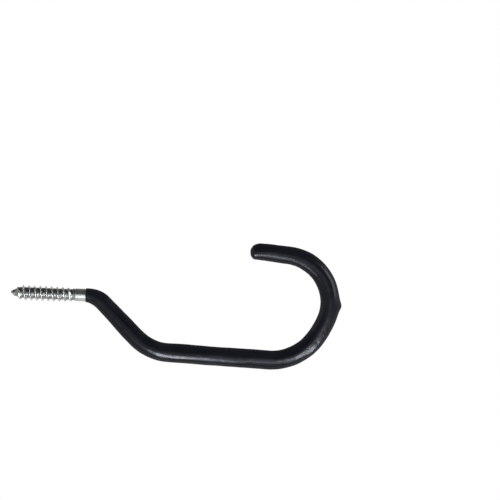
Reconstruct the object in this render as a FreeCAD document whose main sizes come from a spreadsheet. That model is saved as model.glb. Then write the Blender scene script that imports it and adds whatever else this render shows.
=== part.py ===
# Screw-in utility hook: a bent steel rod with a rolled wood-screw thread, dipped in vinyl.
# Millimetres, +Z up. The screw's axis is X and its point is towards -X.
# The hook lies in the XZ plane, with the curl towards +X and the opening upwards.
# The origin is on the screw's axis where the coating begins, which is where the wall's face comes.

import FreeCAD, Part
import math
import os
import Sketcher

Vector = FreeCAD.Vector
doc = FreeCAD.newDocument("utility_hook")

# Driving dimensions

SIZES = {
    # steel rod and its screw
    "wire_diameter": 6.35,
    "screw_length": 37.5,
    "shank_length": 5.0,
    "shoulder_length": 1.0,
    "thread_crest_diameter": 7.7,
    "thread_root_diameter": 5.5,
    "thread_pitch": 2.82,
    "thread_start": 6.07,
    "ridge_base": 1.6,
    "ridge_sink": 0.15,
    "runout_length": 8.0,
    "point_length": 4.6,
    "point_diameter": 0.6,
    "point_ridge": 0.1,
    "point_ridge_base": 1.0,
    "taper_past_cone": 0.6,
    "trim_clearance": 1.0,
    # bends from the wall outwards, with the slopes in degrees from the screw's axis
    "neck_radius": 12.8,
    "drop_slope": 44.0,
    "drop_length": 23.8,
    "heel_radius": 24.2,
    "run_slope": 1.7,
    "run_length": 50.0,
    "curl_low_radius": 27.2,
    "curl_low_angle": 51.7,
    "curl_side_radius": 40.9,
    "curl_side_angle": 17.5,
    "curl_top_radius": 23.5,
    "arm_slope": 5.3,
    "arm_length": 15.2,
    "steel_past_arm": 1.0,
    "steel_end_chamfer": 0.5,
    # the coating's wall over the steel, from its lip at the wall to the tip
    "lip_wall": 0.3,
    "neck_wall": 1.1,
    "full_wall": 1.55,
    "tip_wall": 1.15,
}

sheet = doc.addObject("Spreadsheet::Sheet", "sizes")
for row, (alias, value) in enumerate(SIZES.items(), start=1):
    sheet.set("A%d" % row, alias)
    sheet.set("B%d" % row, str(value))
    sheet.setAlias("B%d" % row, alias)
doc.recompute()


def amount(rule):
    """The number that an expression on the sheet's sizes comes to."""
    return float(sheet.evalExpression(rule))


def origin_plane(body, role):
    for feature in body.Origin.OriginFeatures:
        if feature.Role == role:
            return feature


def plane_sketch(body, name, role="XZ_Plane"):
    sketch = body.newObject("Sketcher::SketchObject", name)
    sketch.AttachmentSupport = (origin_plane(body, role), [""])
    sketch.MapMode = "FlatFace"
    return sketch


def drive(sketch, rule, kind, *places, degrees=False):
    """Gives a sketch a driving size that follows the sheet."""
    value = amount(rule)
    index = sketch.addConstraint(Sketcher.Constraint(kind, *places, math.radians(value) if degrees else value))
    sketch.setExpression("Constraints[%d]" % index, "(%s) * 1 deg" % rule if degrees else rule)


# The rod's centreline

def bend_path(body, name, arm_rule):
    """Neck, drop, heel, run, the curl's low, side and top arcs, and the arm, each tangent to the last."""
    sketch = plane_sketch(body, name)
    place = Vector(0, 0, 0)
    heading = 0.0
    ends = []

    def arc(radius_rule, turn):
        nonlocal place, heading
        radius = amount(radius_rule)
        side = math.copysign(1.0, turn)
        centre = place + Vector(-math.sin(heading), math.cos(heading), 0) * radius * side
        first = heading - side * math.pi / 2
        last = first + turn
        circle = Part.Circle(centre, Vector(0, 0, 1), radius)
        geometry = sketch.addGeometry(Part.ArcOfCircle(circle, min(first, last), max(first, last)), False)
        ends.append((1, 2) if turn > 0 else (2, 1))
        drive(sketch, radius_rule, "Radius", geometry)
        heading += turn
        place = centre + Vector(math.cos(last), math.sin(last), 0) * radius
        return geometry

    def straight(length_rule, slope_rule):
        nonlocal place
        end = place + Vector(math.cos(heading), math.sin(heading), 0) * amount(length_rule)
        geometry = sketch.addGeometry(Part.LineSegment(place, end), False)
        ends.append((1, 2))
        drive(sketch, length_rule, "Distance", geometry)
        drive(sketch, slope_rule, "Angle", geometry, degrees=True)
        place = end

    drop, run, low, side, arm = (math.radians(amount(rule)) for rule in (
        "-sizes.drop_slope", "-sizes.run_slope", "sizes.curl_low_angle",
        "sizes.curl_side_angle", "180 - sizes.arm_slope"))
    arc("sizes.neck_radius", drop)
    straight("sizes.drop_length", "-sizes.drop_slope")
    arc("sizes.heel_radius", run - drop)
    straight("sizes.run_length", "-sizes.run_slope")
    drive(sketch, "sizes.curl_low_angle", "Angle", arc("sizes.curl_low_radius", low), degrees=True)
    drive(sketch, "sizes.curl_side_angle", "Angle", arc("sizes.curl_side_radius", side), degrees=True)
    arc("sizes.curl_top_radius", arm - run - low - side)
    straight(arm_rule, "180 - sizes.arm_slope")

    sketch.addConstraint(Sketcher.Constraint("Coincident", 0, ends[0][0], -1, 1))
    sketch.addConstraint(Sketcher.Constraint("PointOnObject", 0, 3, -2))
    for i in range(len(ends) - 1):
        sketch.addConstraint(Sketcher.Constraint("Tangent", i, ends[i][1], i + 1, ends[i + 1][0]))
    return sketch


def axial_outline(body, name, corners):
    """A closed outline beside the screw's axis, from rules for each corner's place along and off the axis."""
    sketch = plane_sketch(body, name)
    count = len(corners)
    places = [Vector(amount(along), amount(off), 0) for along, off in corners]
    for i in range(count):
        sketch.addGeometry(Part.LineSegment(places[i], places[(i + 1) % count]), False)
    for i in range(count):
        sketch.addConstraint(Sketcher.Constraint("Coincident", i, 2, (i + 1) % count, 1))
    for i, (along, off) in enumerate(corners):
        drive(sketch, along, "DistanceX", -1, 1, i, 1)
        drive(sketch, off, "DistanceY", -1, 1, i, 1)
    return sketch


def turned(body, kind, name, corners):
    """A Revolution or a Groove of an outline about the screw's axis."""
    profile = axial_outline(body, name + "_outline", corners)
    feature = body.newObject("PartDesign::" + kind, name)
    feature.Profile = profile
    feature.ReferenceAxis = (profile, ["H_Axis"])
    feature.Angle = 360
    return feature


def helical(body, name, corners, height_rule, towards_point):
    """A right-hand ridge swept about the screw's axis, from where the full thread starts."""
    profile = axial_outline(body, name + "_profile", corners)
    feature = body.newObject("PartDesign::AdditiveHelix", name)
    feature.Profile = profile
    feature.ReferenceAxis = (profile, ["H_Axis"])
    feature.Mode = "pitch-height-angle"
    feature.LeftHanded = False
    feature.Reversed = towards_point
    feature.setExpression("Pitch", "sizes.thread_pitch")
    feature.setExpression("Height", height_rule)
    return feature


# Steel rod

def circle_at(shape, centre):
    """The name of the closed edge whose middle is at a point."""
    distances = [edge.CenterOfMass.distanceToPoint(centre) for edge in shape.Edges]
    return "Edge%d" % (distances.index(min(distances)) + 1)


def steel_rod():
    body = doc.addObject("PartDesign::Body", "steel_rod")
    body.Label = "steel_rod"

    end = "-sizes.screw_length"
    cone = end + " + sizes.point_length"
    start = end + " + sizes.thread_start"
    shank = "-sizes.shank_length"
    wire = "sizes.wire_diameter / 2"
    root = "sizes.thread_root_diameter / 2"
    crest = "sizes.thread_crest_diameter / 2"
    outside = crest + " + sizes.trim_clearance"

    # the bent rod, from the lip of the coating to the rod's cut end
    path = bend_path(body, "rod_path", "sizes.arm_length + sizes.steel_past_arm")
    section = plane_sketch(body, "rod_section", "YZ_Plane")
    section.addGeometry(Part.Circle(Vector(0, 0, 0), Vector(0, 0, 1), amount(wire)), False)
    section.addConstraint(Sketcher.Constraint("Coincident", 0, 3, -1, 1))
    drive(section, wire, "Radius", 0)
    doc.recompute()
    rod = body.newObject("PartDesign::AdditivePipe", "bent_rod")
    rod.Profile = section
    rod.Spine = (path, [])
    doc.recompute()

    # the cut end's edge is broken
    arm_end = path.Shape.Edges[0].valueAt(path.Shape.Edges[0].LastParameter)
    chamfer = body.newObject("PartDesign::Chamfer", "cut_end")
    chamfer.Base = (rod, [circle_at(rod.Shape, arm_end)])
    chamfer.setExpression("Size", "sizes.steel_end_chamfer")
    doc.recompute()
    body.Tip = chamfer

    # the turned blank: shank, shoulder, the thread's root and the point's cone
    turned(body, "Revolution", "screw_blank", [
        (end, "0"),
        (end, "sizes.point_diameter / 2"),
        (cone, root),
        (shank + " - sizes.shoulder_length", root),
        (shank, wire),
        ("0", wire),
        ("0", "0"),
    ])
    doc.recompute()

    # the rolled ridge, to the shank and down over the point
    helical(body, "thread_ridge", [
        (start + " - sizes.ridge_base / 2", root + " - sizes.ridge_sink"),
        (start, crest),
        (start + " + sizes.ridge_base / 2", root + " - sizes.ridge_sink"),
    ], "sizes.screw_length - sizes.thread_start - sizes.shank_length - sizes.ridge_base / 2", False)
    doc.recompute()
    helical(body, "point_ridge", [
        (start + " - sizes.point_ridge_base / 2", "sizes.ridge_sink"),
        (start, crest),
        (start + " + sizes.point_ridge_base / 2", "sizes.ridge_sink"),
    ], "sizes.thread_start - sizes.point_ridge_base / 2", True)
    doc.recompute()

    # the ridge dwindles to the point and runs out at the shank
    turned(body, "Groove", "point_taper", [
        (end + " - sizes.trim_clearance", "sizes.point_diameter / 2 + sizes.point_ridge"),
        (end, "sizes.point_diameter / 2 + sizes.point_ridge"),
        (cone + " + sizes.taper_past_cone", crest),
        (cone + " + sizes.taper_past_cone", outside),
        (end + " - sizes.trim_clearance", outside),
    ])
    doc.recompute()
    runout = turned(body, "Groove", "thread_runout", [
        (shank + " - sizes.runout_length", crest),
        (shank, wire),
        (shank + " + sizes.shoulder_length", wire),
        (shank + " + sizes.shoulder_length", outside),
        (shank + " - sizes.runout_length", outside),
    ])
    doc.recompute()
    body.Tip = runout
    return body, chamfer


# Vinyl coating

def coating_section(body, name, path, edge, at_end, wall):
    """A circle square to the path at one end of one of its stretches."""
    sketch = body.newObject("Sketcher::SketchObject", name)
    sketch.AttachmentSupport = (path, [edge])
    sketch.MapMode = "NormalToEdge"
    sketch.MapPathParameter = float(at_end)
    rule = "sizes.wire_diameter / 2 + sizes.%s" % wall
    sketch.addGeometry(Part.Circle(Vector(0, 0, 0), Vector(0, 0, 1), amount(rule)), False)
    sketch.addConstraint(Sketcher.Constraint("Coincident", 0, 3, -1, 1))
    drive(sketch, rule, "Radius", 0)
    return sketch


def coat_along(body, name, path, edges, first, last=None):
    """Coating along some of the path's stretches, from one section, or from one section to another."""
    pipe = body.newObject("PartDesign::AdditivePipe", name)
    pipe.Profile = first
    pipe.Spine = (path, edges)
    if last:
        pipe.Transformation = "Multisection"
        pipe.Sections = [last]
    doc.recompute()
    body.Tip = pipe


def dipped_skin():
    """The outside of the coating, filled: thin at the lip, thickest round the curl, thinner at the tip."""
    body = doc.addObject("PartDesign::Body", "dipped_skin")
    path = bend_path(body, "coating_path", "sizes.arm_length")
    doc.recompute()

    # the path's edges are numbered from the arm back to the wall, and the neck's runs backwards
    arm, top, side, low, run, heel, drop, neck = ("Edge%d" % i for i in range(1, 9))
    neck_first = coating_section(body, "neck_first", path, neck, 1, "lip_wall")
    neck_last = coating_section(body, "neck_last", path, neck, 0, "neck_wall")
    drop_first = coating_section(body, "drop_first", path, drop, 0, "neck_wall")
    drop_last = coating_section(body, "drop_last", path, drop, 1, "full_wall")
    heel_first = coating_section(body, "heel_first", path, heel, 0, "full_wall")
    arm_first = coating_section(body, "arm_first", path, arm, 0, "full_wall")
    arm_last = coating_section(body, "arm_last", path, arm, 1, "tip_wall")
    doc.recompute()
    coat_along(body, "neck_coat", path, [neck], neck_first, neck_last)
    coat_along(body, "drop_coat", path, [drop], drop_first, drop_last)
    coat_along(body, "full_coat", path, [heel, run, low, side, top], heel_first)
    coat_along(body, "arm_coat", path, [arm], arm_first, arm_last)
    tip = body.newObject("PartDesign::AdditiveSphere", "rounded_tip")
    tip.AttachmentSupport = (path, [arm])
    tip.MapMode = "NormalToEdge"
    tip.MapPathParameter = 1.0
    tip.setExpression("Radius", "sizes.wire_diameter / 2 + sizes.tip_wall")
    doc.recompute()
    body.Tip = tip
    return body


def vinyl_coating(bent_rod):
    """The dipped skin less the bent rod that it was dipped over, so that it fits the rod all along."""
    coating = doc.addObject("Part::Cut", "vinyl_coating")
    coating.Label = "vinyl_coating"
    coating.Base = dipped_skin()
    coating.Tool = bent_rod
    doc.recompute()
    return coating


rod, bent_rod = steel_rod()
coating = vinyl_coating(bent_rod)
doc.recompute()

# Check the model and write one file for each piece

for item in doc.Objects:
    if "Invalid" in item.State or "Error" in item.State:
        raise RuntimeError("%s did not compute" % item.Label)
for piece in (rod, coating):
    if piece.Shape.isNull() or not piece.Shape.isValid() or len(piece.Shape.Solids) != 1:
        raise RuntimeError("%s is not one valid solid" % piece.Label)

os.makedirs("parts", exist_ok=True)
for piece in (rod, coating):
    piece.Shape.exportStep("parts/%s.step" % piece.Label)
    print(piece.Label, round(piece.Shape.Volume, 1), "mm3")
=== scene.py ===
import bpy
import numpy as np
from mathutils import Matrix, Vector


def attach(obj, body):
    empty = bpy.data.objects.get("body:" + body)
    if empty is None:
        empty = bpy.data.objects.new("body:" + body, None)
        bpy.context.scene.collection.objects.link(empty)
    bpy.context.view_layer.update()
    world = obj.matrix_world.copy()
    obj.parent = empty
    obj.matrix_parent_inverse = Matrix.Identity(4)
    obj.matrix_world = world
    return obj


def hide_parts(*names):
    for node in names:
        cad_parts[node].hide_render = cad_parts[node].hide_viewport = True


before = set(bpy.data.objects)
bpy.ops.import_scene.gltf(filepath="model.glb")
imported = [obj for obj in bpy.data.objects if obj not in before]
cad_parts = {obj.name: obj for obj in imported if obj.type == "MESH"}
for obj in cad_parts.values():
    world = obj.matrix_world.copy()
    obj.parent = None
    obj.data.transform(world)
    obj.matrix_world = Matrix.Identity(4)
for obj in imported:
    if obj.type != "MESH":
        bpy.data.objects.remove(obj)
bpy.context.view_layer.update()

MM = 0.001
TAU = 2 * np.pi

# Sizes of the rod and its screw, in millimetres, as in the CAD

WIRE_RADIUS = 3.175
SCREW_LENGTH = 37.5
SHANK_LENGTH = 5.0
SHOULDER_LENGTH = 1.0
CREST_RADIUS = 3.85
ROOT_RADIUS = 2.75
PITCH = 2.82
THREAD_START = 6.07
RIDGE_BASE = 1.6
RUNOUT_LENGTH = 8.0
POINT_LENGTH = 4.6
POINT_RADIUS = 0.3
POINT_RIDGE = 0.1
TAPER_PAST_CONE = 0.6
POINT_ROUND = 0.8
STEEL_PAST_ARM = 1.0
STEEL_CHAMFER = 0.5

# How the thread's section is rounded, and where it ends before the shank

CREST_ROUNDING = 0.3
ROOT_FILLET = 0.12
RIDGE_FADES_FROM = 1.4
RIDGE_FADES_TO = 0.2

# How finely each skin is drawn: points round it, and rows or millimetres along it

ROD_COLUMNS = 96
SCREW_ROWS = 620
FIRST_BEND_ROW = 1.0
BEND_STEP = 1.6
COAT_COLUMNS = 84
BORE_ROWS = 130
LIP_ROWS = 24
LIP_REACH = 8.0
COAT_STEP = 0.36
CAP_STEP = 4

# The bends from the wall outwards: millimetres of straight, or radius and degrees of turn

DROP_SLOPE = 44.0
RUN_SLOPE = 1.7
ARM_SLOPE = 5.3
LOW_TURN = 51.7
SIDE_TURN = 17.5
TOP_TURN = 180 - ARM_SLOPE + RUN_SLOPE - LOW_TURN - SIDE_TURN
STRETCHES = [
    ("neck", 12.8, -DROP_SLOPE),
    ("drop", 23.8, 0.0),
    ("heel", 24.2, DROP_SLOPE - RUN_SLOPE),
    ("run", 50.0, 0.0),
    ("curl_low", 27.2, LOW_TURN),
    ("curl_side", 40.9, SIDE_TURN),
    ("curl_top", 23.5, TOP_TURN),
    ("arm", 15.2, 0.0),
]

# The coating's wall at some lengths from its lip, and its rounded tip past the arm

FULL_WALL = 1.6
WALLS = [(0.0, 0.25), (7.5, 1.06), (13.0, 1.08), (26.0, 1.36), (40.0, 1.5), (54.0, FULL_WALL),
         (174.0, 1.58), (182.0, 1.3), (192.0, 1.15), (197.7, 1.0)]
WALL_BLEND = 2.0
WALL_SAMPLES = 9
TIP_REACH = 4.33
TIP_CAP_LOWER = 2.8
TIP_CAP_UPPER = 5.0
TIP_SAG = 0.3
SAG_FROM = 10
SAG_TO = 2

# The photograph's view: 500 pixels are 250 mm, and the screw slopes down to the right

PHOTO_SIZE = 500
MM_PER_PIXEL = 0.5
ORIGIN_PIXEL = (86.0, 295.2)
SCREW_TILT = 2.5
LENS = 150.0
SENSOR = 36.0


def stretch_table():
    """Name, start, length, curvature, first place and first heading of each stretch, from the wall."""
    rows = []
    start, place, heading = 0.0, np.zeros(2), 0.0
    for name, amount, turn in STRETCHES:
        turn = np.radians(turn)
        length = amount * abs(turn) if turn else amount
        bend = turn / length
        rows.append((name, start, length, bend, place.copy(), heading))
        if turn:
            place += np.array([np.sin(heading + turn) - np.sin(heading),
                               np.cos(heading) - np.cos(heading + turn)]) / bend
        else:
            place += length * np.array([np.cos(heading), np.sin(heading)])
        start += length
        heading += turn
    return rows


TABLE = stretch_table()
PATH_LENGTH = TABLE[-1][1] + TABLE[-1][2]


def rod_line(length):
    """Places and headings along the rod's centreline.

    Before the wall and past the arm the line is straight. On an arc of curvature k that starts at
    heading h, the place moves by (sin(h + k t) - sin h) / k along X and (cos h - cos(h + k t)) / k
    along Z after t of length.
    """
    x, z, heading = np.array(length, float), np.zeros_like(length), np.zeros_like(length)
    for name, start, span, bend, place, first in TABLE:
        t = length - start
        here = t >= 0
        t = np.where(here, t, 0.0)
        inside = np.minimum(t, span) if name != "arm" else t
        if bend:
            dx = (np.sin(first + bend * inside) - np.sin(first)) / bend
            dz = (np.cos(first) - np.cos(first + bend * inside)) / bend
        else:
            dx, dz = inside * np.cos(first), inside * np.sin(first)
        x = np.where(here, place[0] + dx, x)
        z = np.where(here, place[1] + dz, z)
        heading = np.where(here, first + bend * inside, heading)
    return x, z, heading


def swept(length, radius, around, shift=0.0):
    """Surface of a rod swept along its line.

    A point at length s and angle a lies off the line by r (cos a N + sin a B), where N is the line's
    upper normal in the hook's plane and B = -Y, so that the angle turns right-handed about the line.
    A shift moves the section's middle along N.
    """
    x, z, heading = rod_line(length)
    off = shift + radius * np.cos(around)
    aside = -radius * np.sin(around)
    return np.stack([x - off * np.sin(heading), aside, z + off * np.cos(heading)], -1) * MM


def on_line(length, shift=0.0):
    """One place on the rod's centreline, or beside it along N."""
    return swept(np.array([length]), np.zeros(1), np.zeros(1), shift)[0]


def add(name, data):
    """An object made of that data, linked to the scene."""
    item = bpy.data.objects.new(name, data)
    bpy.context.collection.objects.link(item)
    return item


def grid_mesh(name, points, first_pole, last_pole, values=None):
    """A closed skin over a grid of points, with a pole at each end.

    Rows run along the piece and columns round it. Each of the values becomes an attribute of the points.
    """
    rows, columns = points.shape[:2]
    index = np.arange(rows * columns).reshape(rows, columns)
    ahead = np.roll(index, -1, axis=1)
    quads = np.stack([index[:-1], ahead[:-1], ahead[1:], index[1:]], -1).reshape(-1, 4)
    first, last = rows * columns, rows * columns + 1
    fan_first = np.stack([ahead[0], index[0], np.full(columns, first)], -1)
    fan_last = np.stack([index[-1], ahead[-1], np.full(columns, last)], -1)
    vertices = np.concatenate([points.reshape(-1, 3), [first_pole], [last_pole]])
    mesh = bpy.data.meshes.new(name)
    mesh.from_pydata(vertices.tolist(), [], quads.tolist() + fan_first.tolist() + fan_last.tolist())
    for label, value in (values or {}).items():
        attribute = mesh.attributes.new(label, "FLOAT", "POINT")
        padded = np.concatenate([value.reshape(-1), [value.flat[0]], [value.flat[-1]]])
        attribute.data.foreach_set("value", padded.astype(np.float32))
    mesh.polygons.foreach_set("use_smooth", np.ones(len(mesh.polygons), bool))
    mesh.update()
    return add(name, mesh)


def smooth(edge0, edge1, value):
    """Rises from 0 to 1 between two edges as 3t² - 2t³."""
    t = np.clip((value - edge0) / (edge1 - edge0), 0.0, 1.0)
    return t * t * (3 - 2 * t)


# Steel rod

def core_radius(x):
    """The blank under the ridge: the point's cone, the root, the shoulder and the bare shank.

    The cone's radius rises with the distance from the point to the power POINT_ROUND, a little convex.
    """
    along = np.clip((x + SCREW_LENGTH) / POINT_LENGTH, 0, 1)
    cone = POINT_RADIUS + (ROOT_RADIUS - POINT_RADIUS) * along ** POINT_ROUND
    shoulder = smooth(-SHANK_LENGTH - SHOULDER_LENGTH, -SHANK_LENGTH, x)
    return cone + (WIRE_RADIUS - ROOT_RADIUS) * shoulder


def crest_line(x):
    """Radius of the ridge's crest: a cone up from the point, a cylinder, and a cone down to the shank."""
    tip = POINT_RADIUS + POINT_RIDGE
    along = np.clip((x + SCREW_LENGTH) / (POINT_LENGTH + TAPER_PAST_CONE), 0, 1)
    rise = tip + (CREST_RADIUS - tip) * along ** POINT_ROUND
    runout = np.clip((x + SHANK_LENGTH + RUNOUT_LENGTH) / RUNOUT_LENGTH, 0, 1)
    return np.minimum(rise, CREST_RADIUS - (CREST_RADIUS - WIRE_RADIUS) * runout)


def thread_radius(x, around):
    """Radius of the screw at a place along it and an angle round it, and how deep in the groove it is.

    The ridge's middle is where (x - start) / pitch - angle / turn is a whole number. Its height falls
    off with the distance d from that middle as 1 - 2 d / base, a little rounded at crest and root.
    """
    turns = (x + SCREW_LENGTH - THREAD_START) / PITCH - around / TAU
    distance = np.abs(turns - np.round(turns)) * PITCH
    flank = 1 - 2 * distance / RIDGE_BASE
    rounded = smooth(-ROOT_FILLET, 1.0, flank)
    ridge = CREST_ROUNDING * rounded + (1 - CREST_ROUNDING) * np.clip(flank, 0, 1)
    core = core_radius(x)
    crest = np.maximum(crest_line(x), core)
    ending = 1 - smooth(-SHANK_LENGTH - RIDGE_FADES_FROM, -SHANK_LENGTH - RIDGE_FADES_TO, x)
    radius = core + (crest - core) * ridge * ending
    depth = np.clip((CREST_RADIUS - radius) / (CREST_RADIUS - ROOT_RADIUS), 0, 1)
    return radius, depth


def steel_rod():
    """The whole rod: fine rows along the thread, wider rows along the bends, and its cut end."""
    around = np.linspace(0, TAU, ROD_COLUMNS, endpoint=False)
    end = PATH_LENGTH + STEEL_PAST_ARM
    screw_rows = np.linspace(-SCREW_LENGTH, 0.0, SCREW_ROWS)
    bend_rows = np.arange(FIRST_BEND_ROW, end - STEEL_CHAMFER, BEND_STEP)
    rows = np.concatenate([screw_rows, bend_rows, [end - STEEL_CHAMFER, end]])
    length = rows[:, None] * np.ones(ROD_COLUMNS)
    angle = np.ones(len(length))[:, None] * around
    radius, depth = thread_radius(np.minimum(length, 0.0), angle)
    radius[-1] -= STEEL_CHAMFER
    depth = np.where(length > -SHANK_LENGTH, 0.0, depth)
    skin = swept(length, radius, angle)
    point = on_line(-SCREW_LENGTH)
    return grid_mesh("rod_with_thread", skin, point, on_line(end), {"groove": depth})


# Vinyl coating

def wall_at(length):
    """The coating's wall: straight between the places in WALLS, as a mean over a short stretch of rod."""
    places, walls = zip(*WALLS)
    offsets = np.linspace(-WALL_BLEND, WALL_BLEND, WALL_SAMPLES)
    return sum(np.interp(length + offset, places, walls) for offset in offsets) / len(offsets)


DRIP_HEIGHT = 1.15
DRIP_SPREAD = 1.5
DRIP_SAG = 0.7


def drip(length, around):
    """The drop of vinyl that set at the curl's outermost place, where the dipped hook hung lowest.

    It falls off with the distance d over the skin from its top as 1 / cosh(d / spread).
    """
    _, start, _, bend, _, first = next(row for row in TABLE if row[0] == "curl_top")
    lowest = start + (np.pi / 2 - first) / bend - DRIP_SAG
    beside = (WIRE_RADIUS + FULL_WALL) * (around - np.pi)
    return DRIP_HEIGHT / np.cosh(np.hypot(length - lowest, beside) / DRIP_SPREAD)


LONGEST_WAVE = 43.0
WAVE_STEP = 1.31
WAVE_COUNT = 12
WAVE_SHARE = 0.0011
WAVE_LOBES = (1, -2, 3, -1, 2, -4)
GOLDEN_TURN = 2.399


def unevenness(length, around):
    """Sags and ripples of a dipped skin, as a sum of sine waves along and round the rod.

    Each wave is shorter than the last by WAVE_STEP, and WAVE_SHARE of its own length high.
    """
    total = np.zeros_like(length)
    for i in range(WAVE_COUNT):
        wave = LONGEST_WAVE / WAVE_STEP ** i
        lobes = WAVE_LOBES[i % len(WAVE_LOBES)]
        total += WAVE_SHARE * wave * np.sin(TAU * length / wave + lobes * around + GOLDEN_TURN * i)
    return total


def vinyl_skin():
    """The coating as one closed skin: from the rod's cut end along the bore, round the lip and back outside.

    At the tip the section shrinks as an ellipse, r sqrt(1 - (1 - u / cap)²) at u before the end, with a
    cap that is longer on the upper side, and its middle sags a little to the lower side.
    """
    around = np.linspace(0, TAU, COAT_COLUMNS, endpoint=False)
    bore_end = PATH_LENGTH + STEEL_PAST_ARM
    tip_end = PATH_LENGTH + TIP_REACH
    bore = np.linspace(bore_end, 0.0, BORE_ROWS)
    lip = np.linspace(0.0, LIP_REACH, LIP_ROWS)
    outside = np.arange(LIP_REACH + COAT_STEP, tip_end - TIP_CAP_UPPER, COAT_STEP)
    cap = tip_end - TIP_CAP_UPPER * (1 - np.sin(np.radians(np.arange(0, 90, CAP_STEP))))
    rows = np.concatenate([bore, lip, outside, cap])
    length = rows[:, None] * np.ones(COAT_COLUMNS)
    angle = np.ones(len(rows))[:, None] * around
    cap_mean = (TIP_CAP_UPPER + TIP_CAP_LOWER) / 2
    cap_length = cap_mean - (TIP_CAP_UPPER - TIP_CAP_LOWER) / 2 * np.cos(angle)
    shrink = np.sqrt(1 - np.clip(1 - (tip_end - length) / cap_length, 0, 1) ** 2)
    settled = smooth(0.0, LIP_REACH, length)
    relief = drip(length, angle) + unevenness(length, angle)
    outer = WIRE_RADIUS + wall_at(length) + relief * settled
    in_bore = np.arange(len(rows))[:, None] < len(bore)
    radius = np.where(in_bore, WIRE_RADIUS, outer * shrink)
    sag = np.where(in_bore, 0.0, TIP_SAG * smooth(tip_end - SAG_FROM, tip_end - SAG_TO, length))
    skin = swept(length, radius, angle, sag)
    return grid_mesh("dipped_coating", skin, on_line(bore_end), on_line(tip_end, TIP_SAG))


# Materials

def linear(code):
    """An sRGB hex colour as linear red, green, blue and alpha."""
    values = np.array([int(code[i:i + 2], 16) for i in (1, 3, 5)]) / 255
    values = np.where(values <= 0.04045, values / 12.92, ((values + 0.055) / 1.055) ** 2.4)
    return (*values.tolist(), 1.0)


def node(tree, kind, settings=None, **inputs):
    """Adds a node with its settings, and fills or links its inputs by name, or as i0, i1 by number.

    The setting "stops" is a colour ramp's two pairs of place and colour.
    """
    item = tree.nodes.new(kind)
    for key, value in (settings or {}).items():
        if key == "stops":
            for element, (place, colour) in zip(item.color_ramp.elements, value):
                element.position = place
                element.color = colour
        else:
            setattr(item, key, value)
    for key, value in inputs.items():
        numbered = key[0] == "i" and key[1:].isdigit()
        socket = item.inputs[int(key[1:]) if numbered else key.replace("_", " ")]
        if isinstance(value, bpy.types.NodeSocket):
            tree.links.new(value, socket)
        else:
            socket.default_value = value
    return item


def new_material(name):
    """A material with an empty node tree, and the tree."""
    material = bpy.data.materials.new(name)
    material.use_nodes = True
    tree = material.node_tree
    tree.nodes.clear()
    return material, tree


WHITE = (1, 1, 1, 1)

# Sizes of the patterns, as repeats in a metre: plate clouds of 2.4 mm, rolling marks of 0.3 mm, patches of
# thicker and thinner dip of 11 mm, and an orange peel of 1.4 mm. Real rolling marks are some hundredths of
# a millimetre wide, too fine to show, so they are drawn coarser.

PLATE_CLOUDS = 420.0
ROLLING_MARKS = 3200.0
DIP_PATCHES = 90.0
ORANGE_PEEL = 700.0


def bright_zinc():
    """Bright zinc electroplate on a rolled thread.

    The plate gives a cool, slightly cloudy mirror and the rolling gives it fine marks. Painted shade
    makes the grooves darker, most at the root.
    """
    material, tree = new_material("bright_zinc_plate")
    place = node(tree, "ShaderNodeTexCoord").outputs["Object"]
    groove = node(tree, "ShaderNodeAttribute", {"attribute_name": "groove"}).outputs["Fac"]
    cloud = node(tree, "ShaderNodeTexNoise", Vector=place, Scale=PLATE_CLOUDS, Detail=4.0,
                 Roughness=0.6).outputs["Fac"]
    fine = node(tree, "ShaderNodeTexNoise", Vector=place, Scale=ROLLING_MARKS, Detail=3.0).outputs["Fac"]
    plate_stops = [(0.30, linear("#a2a4a3")), (0.70, linear("#bdbfbd"))]
    plated = node(tree, "ShaderNodeValToRGB", {"stops": plate_stops}, Fac=cloud).outputs["Color"]
    # Painted shade: the colour is darkened by the depth in the groove, most at the root.
    groove_shade_stops = [(0.35, WHITE), (1.0, linear("#b8b8b3"))]
    painted_groove_shade = node(tree, "ShaderNodeValToRGB", {"stops": groove_shade_stops}, Fac=groove).outputs["Color"]
    colour = node(tree, "ShaderNodeMix", {"data_type": "RGBA", "blend_type": "MULTIPLY"},
                  i0=1.0, i6=plated, i7=painted_groove_shade).outputs[2]
    rough = node(tree, "ShaderNodeMapRange", Value=cloud, From_Min=0.3, From_Max=0.7,
                 To_Min=0.20, To_Max=0.34).outputs["Result"]
    bump = node(tree, "ShaderNodeBump", Height=fine, Strength=0.18, Distance=0.00005).outputs["Normal"]
    shader = node(tree, "ShaderNodeBsdfPrincipled", Base_Color=colour, Roughness=rough, Normal=bump,
                  Metallic=1.0).outputs["BSDF"]
    node(tree, "ShaderNodeOutputMaterial", Surface=shader)
    return material


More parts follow.
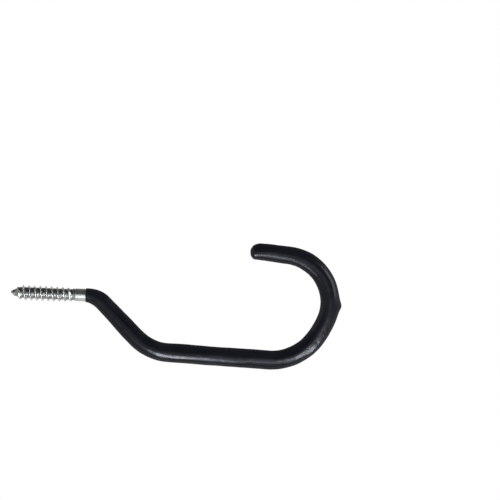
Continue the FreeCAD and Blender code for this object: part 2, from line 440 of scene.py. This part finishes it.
def black_vinyl():
    """Black plastisol, a PVC that is dipped and fused.

    It gives the eye a soft semi-gloss with a bluish cast and a faint orange peel. Seen along the skin the
    peel hides the gloss, so the coat is rougher there. PVC has an IOR of 1.53, but its reflection is held
    to a fifth, because the white room shows only dimly in the real coat.
    """
    material, tree = new_material("black_plastisol")
    place = node(tree, "ShaderNodeTexCoord").outputs["Object"]
    patches = node(tree, "ShaderNodeTexNoise", Vector=place, Scale=DIP_PATCHES, Detail=3.0).outputs["Fac"]
    peel = node(tree, "ShaderNodeTexNoise", Vector=place, Scale=ORANGE_PEEL, Detail=2.0,
                Roughness=0.5).outputs["Fac"]
    patch_stops = [(0.35, linear("#11141a")), (0.65, linear("#171a21"))]
    colour = node(tree, "ShaderNodeValToRGB", {"stops": patch_stops}, Fac=patches).outputs["Color"]
    rough = node(tree, "ShaderNodeMapRange", Value=patches, From_Min=0.3, From_Max=0.7,
                 To_Min=0.20, To_Max=0.26).outputs["Result"]
    edge = node(tree, "ShaderNodeLayerWeight", Blend=0.5).outputs["Facing"]
    dulled = node(tree, "ShaderNodeMapRange", Value=edge, From_Min=0.28, From_Max=0.65,
                  To_Min=0.0, To_Max=0.62).outputs["Result"]
    rough = node(tree, "ShaderNodeMath", {"operation": "ADD"}, i0=rough, i1=dulled).outputs[0]
    bump = node(tree, "ShaderNodeBump", Height=peel, Strength=0.05, Distance=0.0001).outputs["Normal"]
    shader = node(tree, "ShaderNodeBsdfPrincipled", Base_Color=colour, Roughness=rough, Normal=bump,
                  IOR=1.53, Specular_IOR_Level=0.10).outputs["BSDF"]
    node(tree, "ShaderNodeOutputMaterial", Surface=shader)
    return material


def seen_as_white(tree, matt, white):
    """Mixes two shaders: white for a camera, a mirror or a glass, and matt for all other light."""
    rays = node(tree, "ShaderNodeLightPath").outputs
    seen = node(tree, "ShaderNodeMath", {"operation": "MAXIMUM"}, i0=rays["Is Camera Ray"],
                i1=rays["Is Glossy Ray"]).outputs[0]
    seen = node(tree, "ShaderNodeMath", {"operation": "MAXIMUM"}, i0=seen,
                i1=rays["Is Transmission Ray"]).outputs[0]
    return node(tree, "ShaderNodeMixShader", i0=seen, i1=matt.outputs[0], i2=white.outputs[0]).outputs[0]


def pale_floor():
    """Matt white studio paper, which lights the object softly and is seen as pure white."""
    material, tree = new_material("studio_white")
    matt = node(tree, "ShaderNodeBsdfDiffuse", Color=linear("#e6e6e6"))
    white = node(tree, "ShaderNodeEmission", Color=WHITE, Strength=1.0)
    node(tree, "ShaderNodeOutputMaterial", Surface=seen_as_white(tree, matt, white))
    return material


# Floor, light and camera

FLOOR_DROP = 0.62
FLOOR_HALF = 3.0
ROOM_LIGHT = 0.85


def studio_floor():
    """A square sheet far below the hook."""
    corners = [(-1, -1), (1, -1), (1, 1), (-1, 1)]
    places = [(FLOOR_HALF * x, FLOOR_HALF * y, -FLOOR_DROP) for x, y in corners]
    mesh = bpy.data.meshes.new("studio_floor")
    mesh.from_pydata(places, [], [(0, 1, 2, 3)])
    floor = add("studio_floor", mesh)
    floor.data.materials.append(pale_floor())


def studio_world():
    """An even white room, a little dimmer as a light than it looks."""
    world = bpy.data.worlds.new("studio")
    bpy.context.scene.world = world
    world.use_nodes = True
    tree = world.node_tree
    tree.nodes.clear()
    fill = node(tree, "ShaderNodeBackground", Color=WHITE, Strength=ROOM_LIGHT)
    white = node(tree, "ShaderNodeBackground", Color=WHITE, Strength=1.0)
    node(tree, "ShaderNodeOutputWorld", Surface=seen_as_white(tree, fill, white))


LAMP_TINT = "#eef3ff"
OPEN_SPREAD = 180


def softbox(name, aim, across, rise, width, height, radiance, twist=0, spread=OPEN_SPREAD):
    """A rectangular lamp square to an aim, a place and its target, and moved across and up from it.

    Its sizes are in millimetres and its turn in its own plane is in degrees. Its power is radiance
    times pi times its area. A grid that narrows its beam to a spread of 2 h gathers the light along
    its axis by tan h / (tan h - h), and its power is lowered by as much.
    """
    light = bpy.data.lights.new(name, "AREA")
    light.shape = "RECTANGLE"
    light.size = width * MM
    light.size_y = height * MM
    light.energy = radiance * np.pi * light.size * light.size_y
    if spread < OPEN_SPREAD:
        half = np.radians(spread / 2)
        light.spread = 2 * half
        light.energy *= 1 - half / np.tan(half)
    light.color = linear(LAMP_TINT)[:3]
    lamp = add(name, light)
    lamp.visible_camera = False
    lamp.visible_diffuse = False
    place, target = (Vector(corner) * MM for corner in aim)
    turn = (place - target).to_track_quat("Z", "Y").to_matrix()
    place = place + turn @ Vector((across, rise, 0)) * MM
    turn = turn @ Matrix.Rotation(np.radians(twist), 3, "Z")
    lamp.matrix_world = Matrix.Translation(place) @ turn.to_4x4()


# Where each group of lamps stands and looks, in millimetres. Each lamp then has its name and aim, how far it
# is moved across and up, its width, height and radiance, and, where it has them, its twist and spread.

HEEL_AIM = ((31, -53, -88), (45, 0, -30))
ARM_AIM = ((82, -92, -65), (88, 0, 29))
SCREW_AIM = ((-46, -127, -98), (-19, 0, -1))
CURL_AIM = ((330, -401, -395), (112, 0, -20))
TIP_AIM = ((69, -31, -9), (84, -3, 23))
SIDE_AIM = ((550, -155, 205), (120, 0, 5))
LAMPS = [
    ("heel_strip", HEEL_AIM, 1.5, 13, 25, 54, 78.0, 0, 60),
    ("run_strip", HEEL_AIM, 22, 5, 16, 46, 44.0, 0, 60),
    ("far_run_strip", HEEL_AIM, 39, -2, 18, 46, 15.0, 0, 60),
    ("arm_strip", ARM_AIM, 5, -3, 24, 50, 27.0, 0, 44),
    ("screw_light", SCREW_AIM, 0, 0, 60, 50, 7.0, 0, 50),
    ("tip_light", TIP_AIM, 0, 0, 24, 16, 80.0, 0, 32),
    ("curl_window", CURL_AIM, -88, 98, 84, 440, 62.0, 41),
    ("curl_pane", CURL_AIM, 205, -15, 80, 540, 54.0, 52),
    ("curl_curtain", CURL_AIM, -44, 88, 270, 1000, 2.2, 45),
    ("side_window", SIDE_AIM, 0, 20, 250, 320, 8.0),
]

# The dark arch in metres, the angles of its edges and its glow in degrees, and how bright it is there

ARCH_RADIUS = 0.7
ARCH_HALF_WIDTH = 0.9
ARCH_FRONT = 8
ARCH_BACK = 150
ARCH_GLOW_FRONT = 0.10
ARCH_GLOW_BACK = 0.25
ARCH_GLOW_FROM = 75
ARCH_GLOW_TO = 115
ARCH_ROWS = 48


def shade_arch():
    """A dark sheet bent over the hook, on a circle about the screw's axis, from low in front to behind.

    Only reflections see it, so that the upper sides of metal and vinyl reflect a dim ceiling.
    """
    rise = np.linspace(ARCH_FRONT, ARCH_BACK, ARCH_ROWS)[:, None] * np.ones(2)
    along = np.ones(ARCH_ROWS)[:, None] * np.array([-ARCH_HALF_WIDTH, ARCH_HALF_WIDTH])
    turn = np.radians(rise)
    points = np.stack([along, -ARCH_RADIUS * np.cos(turn), ARCH_RADIUS * np.sin(turn)], -1)
    change = smooth(ARCH_GLOW_FROM, ARCH_GLOW_TO, rise)
    glow = ARCH_GLOW_FRONT + (ARCH_GLOW_BACK - ARCH_GLOW_FRONT) * change
    index = np.arange(2 * ARCH_ROWS).reshape(ARCH_ROWS, 2)
    quads = np.stack([index[:-1, 0], index[:-1, 1], index[1:, 1], index[1:, 0]], -1)
    mesh = bpy.data.meshes.new("shade_arch")
    mesh.from_pydata(points.reshape(-1, 3).tolist(), [], quads.tolist())
    attribute = mesh.attributes.new("glow", "FLOAT", "POINT")
    attribute.data.foreach_set("value", glow.reshape(-1).astype(np.float32))
    arch = add("shade_arch", mesh)
    # Painted reflection: the sheet glows dimly though it is no lamp, brighter towards the back, as a dim
    # ceiling that only reflections see.
    material, tree = new_material("ceiling_reflection_glow")
    glow = node(tree, "ShaderNodeAttribute", {"attribute_name": "glow"}).outputs["Fac"]
    ceiling_glow = node(tree, "ShaderNodeEmission", Color=WHITE, Strength=glow).outputs[0]
    node(tree, "ShaderNodeOutputMaterial", Surface=ceiling_glow)
    arch.data.materials.append(material)
    arch.visible_camera = False
    arch.visible_diffuse = False
    arch.visible_shadow = False
    arch.visible_transmission = False


def photo_camera():
    """Square to the hook's plane, rolled so that the screw slopes as in the photograph."""
    tilt = np.radians(SCREW_TILT)
    across, down = PHOTO_SIZE / 2 - ORIGIN_PIXEL[0], PHOTO_SIZE / 2 - ORIGIN_PIXEL[1]
    aim_x = (across * np.cos(tilt) + down * np.sin(tilt)) * MM_PER_PIXEL * MM
    aim_z = (across * np.sin(tilt) - down * np.cos(tilt)) * MM_PER_PIXEL * MM
    distance = PHOTO_SIZE * MM_PER_PIXEL * MM * LENS / SENSOR
    camera = bpy.data.cameras.new("photo_camera")
    camera.lens = LENS
    camera.sensor_width = SENSOR
    item = add("photo_camera", camera)
    right = Vector((np.cos(tilt), 0, np.sin(tilt)))
    up = Vector((-np.sin(tilt), 0, np.cos(tilt)))
    back = Vector((0, -1, 0))
    turn = Matrix((right, up, back)).transposed().to_4x4()
    item.matrix_world = Matrix.Translation((aim_x, -distance, aim_z)) @ turn
    bpy.context.scene.camera = item


rod = steel_rod()
rod.data.materials.append(bright_zinc())
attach(rod, "root")
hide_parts("steel_rod")

coating = vinyl_skin()
coating.data.materials.append(black_vinyl())
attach(coating, "root")
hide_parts("vinyl_coating")

studio_floor()
studio_world()
shade_arch()
for lamp in LAMPS:
    softbox(*lamp)
photo_camera()
bpy.context.scene.view_settings.view_transform = "Standard"
